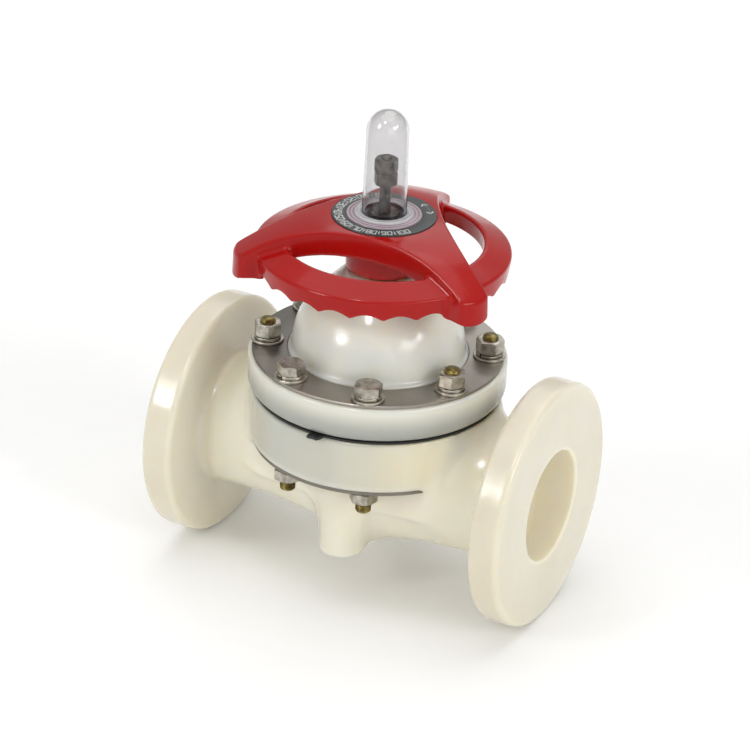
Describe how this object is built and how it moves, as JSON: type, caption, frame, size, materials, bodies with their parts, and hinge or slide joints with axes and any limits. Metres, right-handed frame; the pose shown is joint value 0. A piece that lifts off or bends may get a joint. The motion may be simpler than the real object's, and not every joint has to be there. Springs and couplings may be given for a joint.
{
  "type": "diaphragm valve",
  "caption": "Flanged plastic diaphragm valve with a weir body, a bolted bonnet, a three-arm handwheel and a clear position indicator tube.",
  "frame": {"origin": "centre of the inlet flange's sealing face, on the pipe axis", "axes": "+X along the pipe from inlet to outlet, +Z along the stem to the handwheel, +Y across the pipe away from the front bolts"},
  "size_m": [0.35, 0.2475, 0.4415],
  "materials": {
    "ivory_plastic": "moulded polypropylene, semi-gloss and slightly translucent",
    "red_plastic": "glossy moulded plastic",
    "stainless_steel": "brushed",
    "stainless_fasteners": "turned and tumbled",
    "stud_steel": "yellowish passivated thread",
    "brass": "turned",
    "bronze": "turned",
    "cast_iron": "coated casting",
    "rubber": "matt moulded rubber",
    "black_plastic": "satin plate with white marks",
    "slide_plastic": "smooth slide ring",
    "clear_plastic": "clear moulded cover"
  },
  "bodies": {
    "housing": {"body": "ivory_plastic", "body_inserts": "brass", "foot_inserts": "brass", "front_segment_plate": "stainless_steel", "rear_segment_plate": "stainless_steel", "bonnet": "ivory_plastic", "bonnet_ring_plate": "stainless_steel", "through_bolts": "stainless_fasteners", "through_bolt_nuts": "stainless_fasteners", "studs": "stud_steel", "stud_nuts": "stainless_fasteners", "spring_washers": "stainless_fasteners", "flat_washers": "stainless_fasteners", "diaphragm": "rubber", "thrust_ring_upper": "slide_plastic", "thrust_ring_lower": "slide_plastic", "sleeve_retainer": "brass"},
    "wheel": {"handwheel": "red_plastic", "sleeve": "bronze", "sleeve_o_ring": "rubber", "wheel_lock_nut": "brass", "nameplate": "black_plastic", "gauge_cover": "clear_plastic", "gauge_o_ring": "rubber"},
    "stem": {"stem": "stainless_steel", "stopper_nut_lower": "stainless_fasteners", "stopper_nut_upper": "stainless_fasteners", "compressor": "cast_iron", "compressor_pin": "stainless_steel", "diaphragm_insert": "stainless_steel"}
  },
  "joints": [
    {"name": "handwheel_turn", "type": "hinge", "parent": "housing", "child": "wheel", "pos_m": [0.175, 0, 0.2], "axis": [0, 0, 1], "range_deg": [-1872, 1800]},
    {"name": "stem_lift", "type": "slide", "parent": "housing", "child": "stem", "axis": [0, 0, 1], "range_m": [-0.02605, 0.02505], "deforming": ["diaphragm"]}
  ],
  "couplings": [
    {"joint": "stem_lift", "follows": "handwheel_turn", "m_per_rad": 0.00079577}
  ]
}
